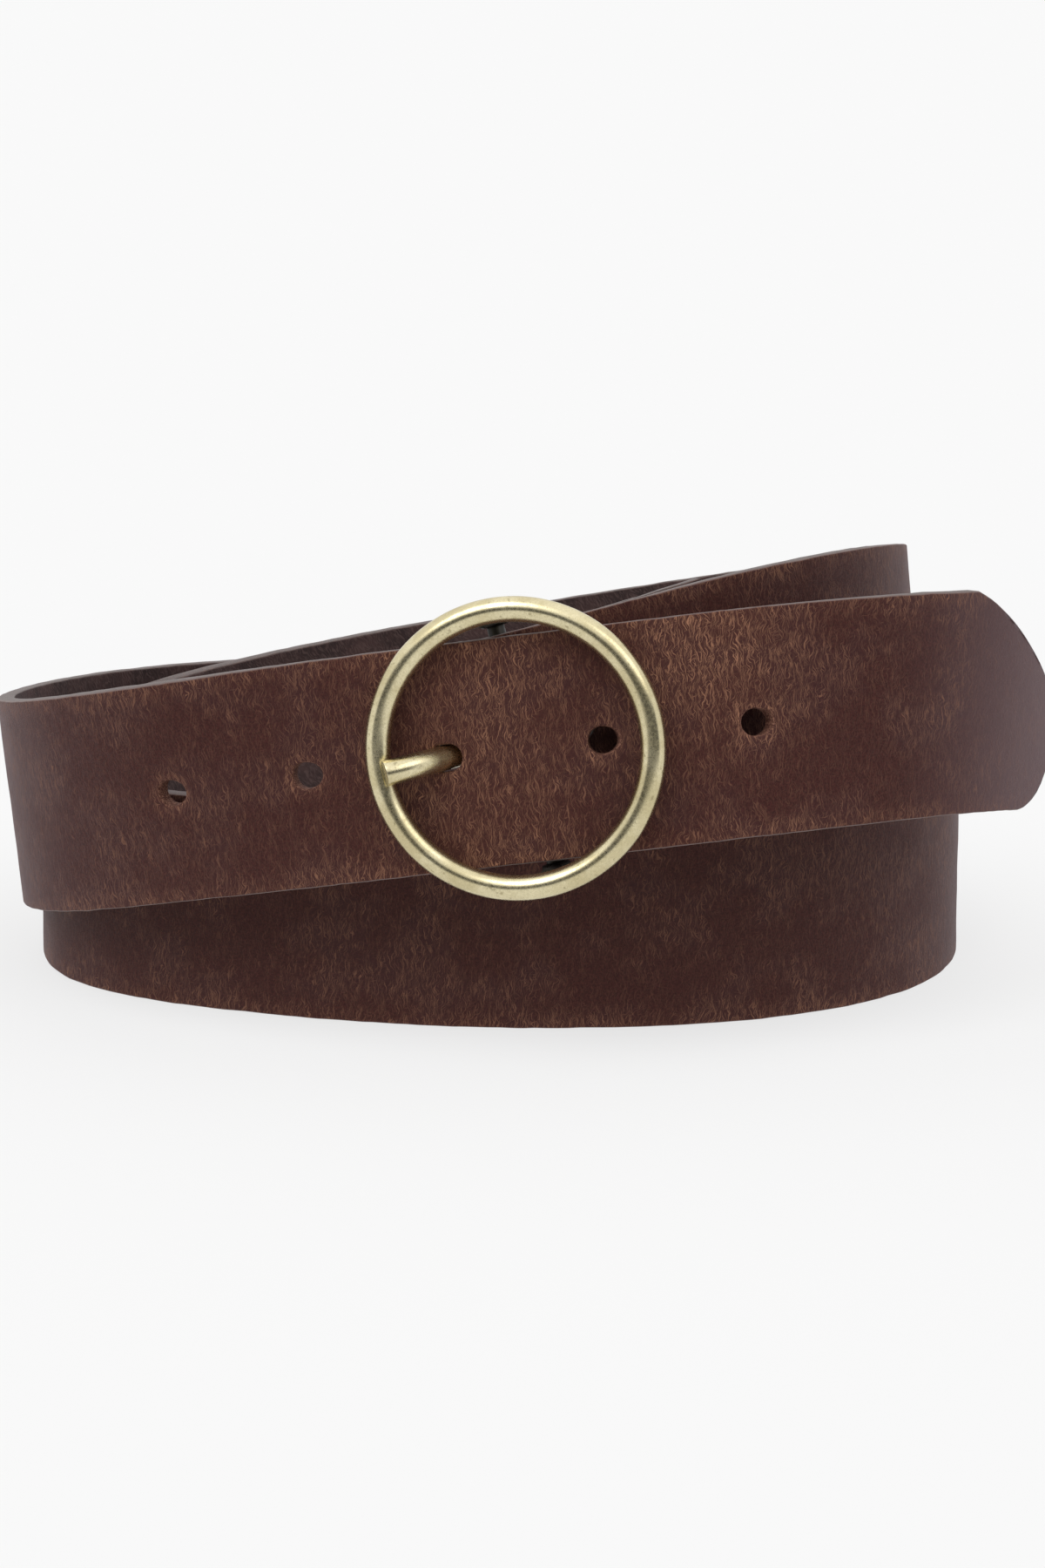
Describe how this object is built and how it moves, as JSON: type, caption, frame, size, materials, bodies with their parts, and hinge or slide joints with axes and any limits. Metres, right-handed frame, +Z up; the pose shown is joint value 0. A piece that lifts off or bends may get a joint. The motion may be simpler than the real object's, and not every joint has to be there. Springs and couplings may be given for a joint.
{
  "type": "leather belt",
  "caption": "Wide brown leather belt with a plain round ring buckle, buckled on its middle hole and coiled twice round, standing on its edge.",
  "frame": {"origin": "middle of the footprint, on the surface that the coil stands on", "axes": "+X along the front of the coil towards the tip, +Y to the back of the coil, +Z up"},
  "size_m": [0.1898, 0.168, 0.0819],
  "materials": {
    "leather": "brown waxed full-grain leather with fine lighter streaks, raw darker flesh side and cut edges",
    "aged_brass": "satin antique brass",
    "blackened_steel": "black oxide",
    "black_enamel": "smooth black enamel",
    "snap_metal": "plain stamped brass"
  },
  "bodies": {
    "strap": {"strap": "leather", "upper_snap_cap": "black_enamel", "upper_snap_socket": "snap_metal", "upper_snap_stud": "snap_metal", "upper_snap_post": "black_enamel", "lower_snap_cap": "black_enamel", "lower_snap_socket": "snap_metal", "lower_snap_stud": "snap_metal", "lower_snap_post": "black_enamel"},
    "buckle": {"buckle_ring": "aged_brass", "centre_bar": "blackened_steel"},
    "prong": {"prong": "aged_brass"}
  },
  "joints": [
    {"name": "buckle_swivel", "type": "hinge", "parent": "strap", "child": "buckle", "pos_m": [0.00206, -0.06656, 0.052], "axis": [-0.2471, 0.1554, 0.9564], "range_deg": [-1.5, 1.5]},
    {"name": "prong_hinge", "type": "hinge", "parent": "buckle", "child": "prong", "pos_m": [0.00206, -0.06656, 0.052], "axis": [-0.2471, 0.1554, 0.9564], "range_deg": [0, 4]}
  ]
}
